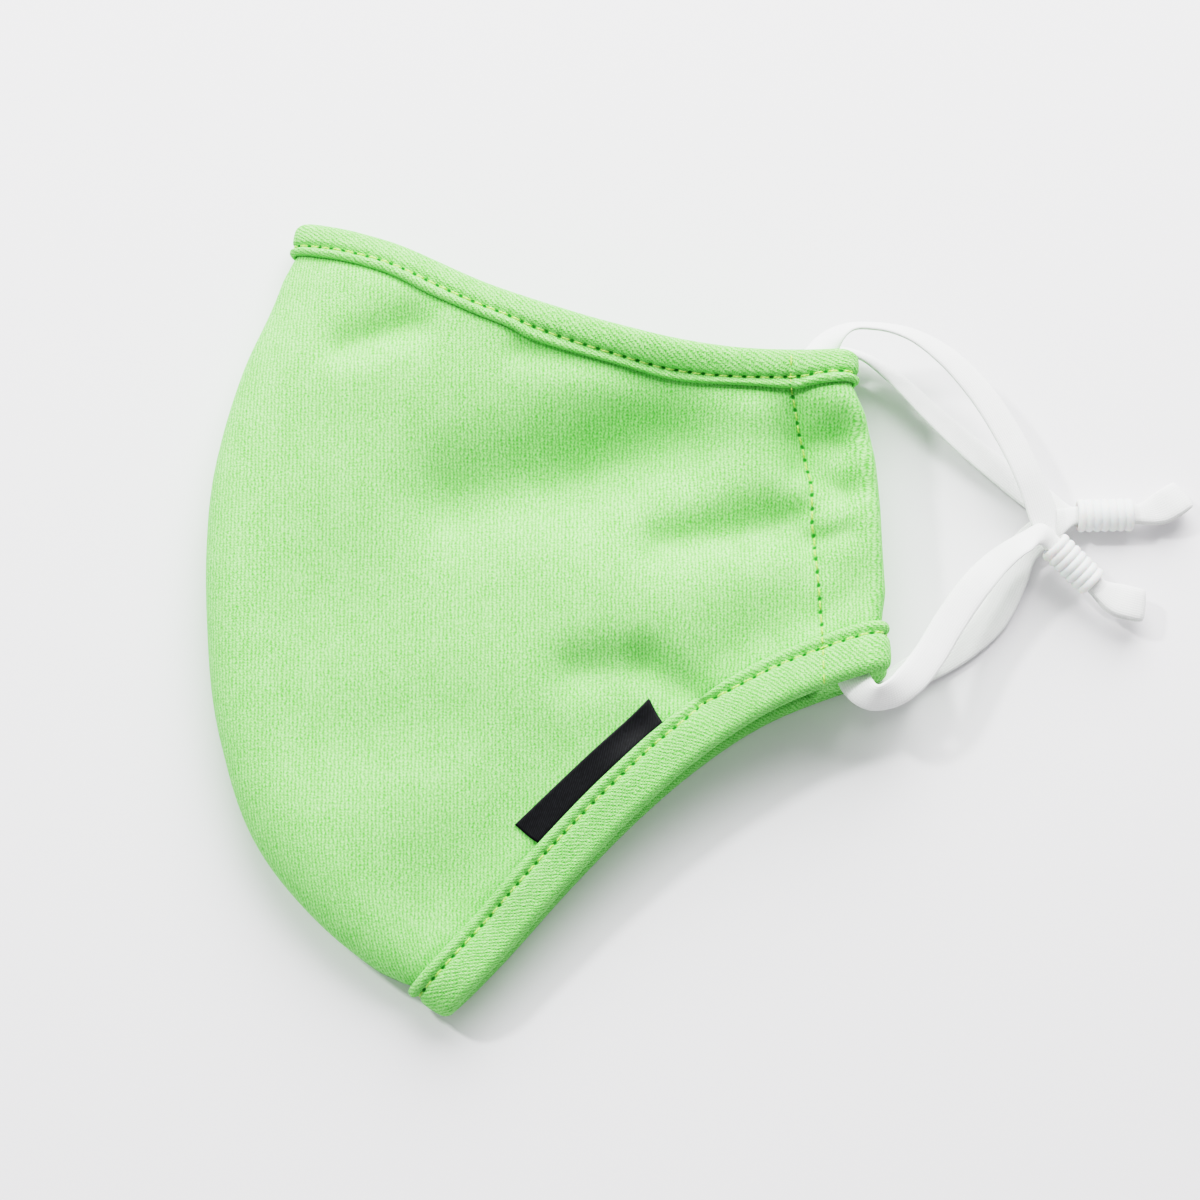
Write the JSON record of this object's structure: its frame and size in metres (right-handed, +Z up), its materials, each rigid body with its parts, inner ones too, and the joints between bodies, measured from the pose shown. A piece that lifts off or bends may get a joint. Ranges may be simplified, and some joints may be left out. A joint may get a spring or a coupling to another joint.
{
  "type": "cloth face mask",
  "caption": "Washable cloth face mask folded flat along its centre seam, with bound edges, flat elastic ear loops and sliding loop adjusters.",
  "frame": {"origin": "on the flat underside of the left half, where the folded mask lies on a table", "axes": "+X from the centre seam towards the ear loops, +Y from the chin edge towards the nose edge, +Z up from the table"},
  "size_m": [0.1846, 0.1496, 0.0199],
  "materials": {
    "knit": "matte lime green cotton jersey knit",
    "binding": "matte lime green jersey cut on the bias and stitched",
    "elastic": "soft white knitted elastic",
    "silicone": "translucent white silicone, satin",
    "label": "black satin woven ribbon"
  },
  "bodies": {
    "root": {"right_panel": "knit", "left_panel": "knit", "top_binding": "binding", "bottom_binding": "binding", "label": "label", "right_ear_loop": "elastic", "left_ear_loop": "elastic", "right_loop_adjuster": "silicone", "left_loop_adjuster": "silicone"}
  },
  "joints": []
}
